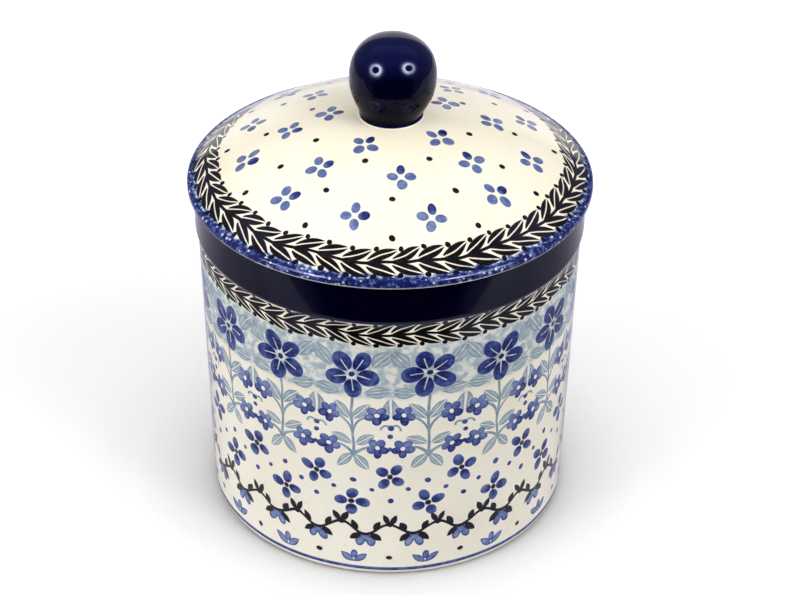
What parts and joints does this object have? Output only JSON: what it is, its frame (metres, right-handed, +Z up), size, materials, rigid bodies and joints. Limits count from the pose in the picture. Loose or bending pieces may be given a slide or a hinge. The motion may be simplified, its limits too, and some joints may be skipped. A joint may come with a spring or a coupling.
{
  "type": "lidded jar",
  "caption": "Straight-sided glazed stoneware kitchen jar with a swelling collar, foot ring, domed lift-off lid with locating flange and ball knob.",
  "frame": {"origin": "centre of the foot ring, on the surface that the jar stands on", "axes": "+Z up along the turning axis from the foot to the knob; X and Y are alike, because every piece is turned"},
  "size_m": [0.1356, 0.1356, 0.1731],
  "materials": {
    "jar_glaze": "clear glossy glaze over cream stoneware with blue and brown-black folk flowers, deep navy glaze on the collar",
    "lid_glaze": "clear glossy glaze over cream stoneware with small blue sprigs and dots, dark leaf border and sponged blue edge",
    "knob_glaze": "glossy deep navy glaze"
  },
  "bodies": {
    "jar": {"jar_body": "jar_glaze"},
    "lid": {"lid_dome": "lid_glaze", "lid_knob": "knob_glaze"}
  },
  "joints": [
    {"name": "lid_lift", "type": "slide", "parent": "jar", "child": "lid", "axis": [0, 0, 1], "range_m": [0, 0.09]}
  ]
}
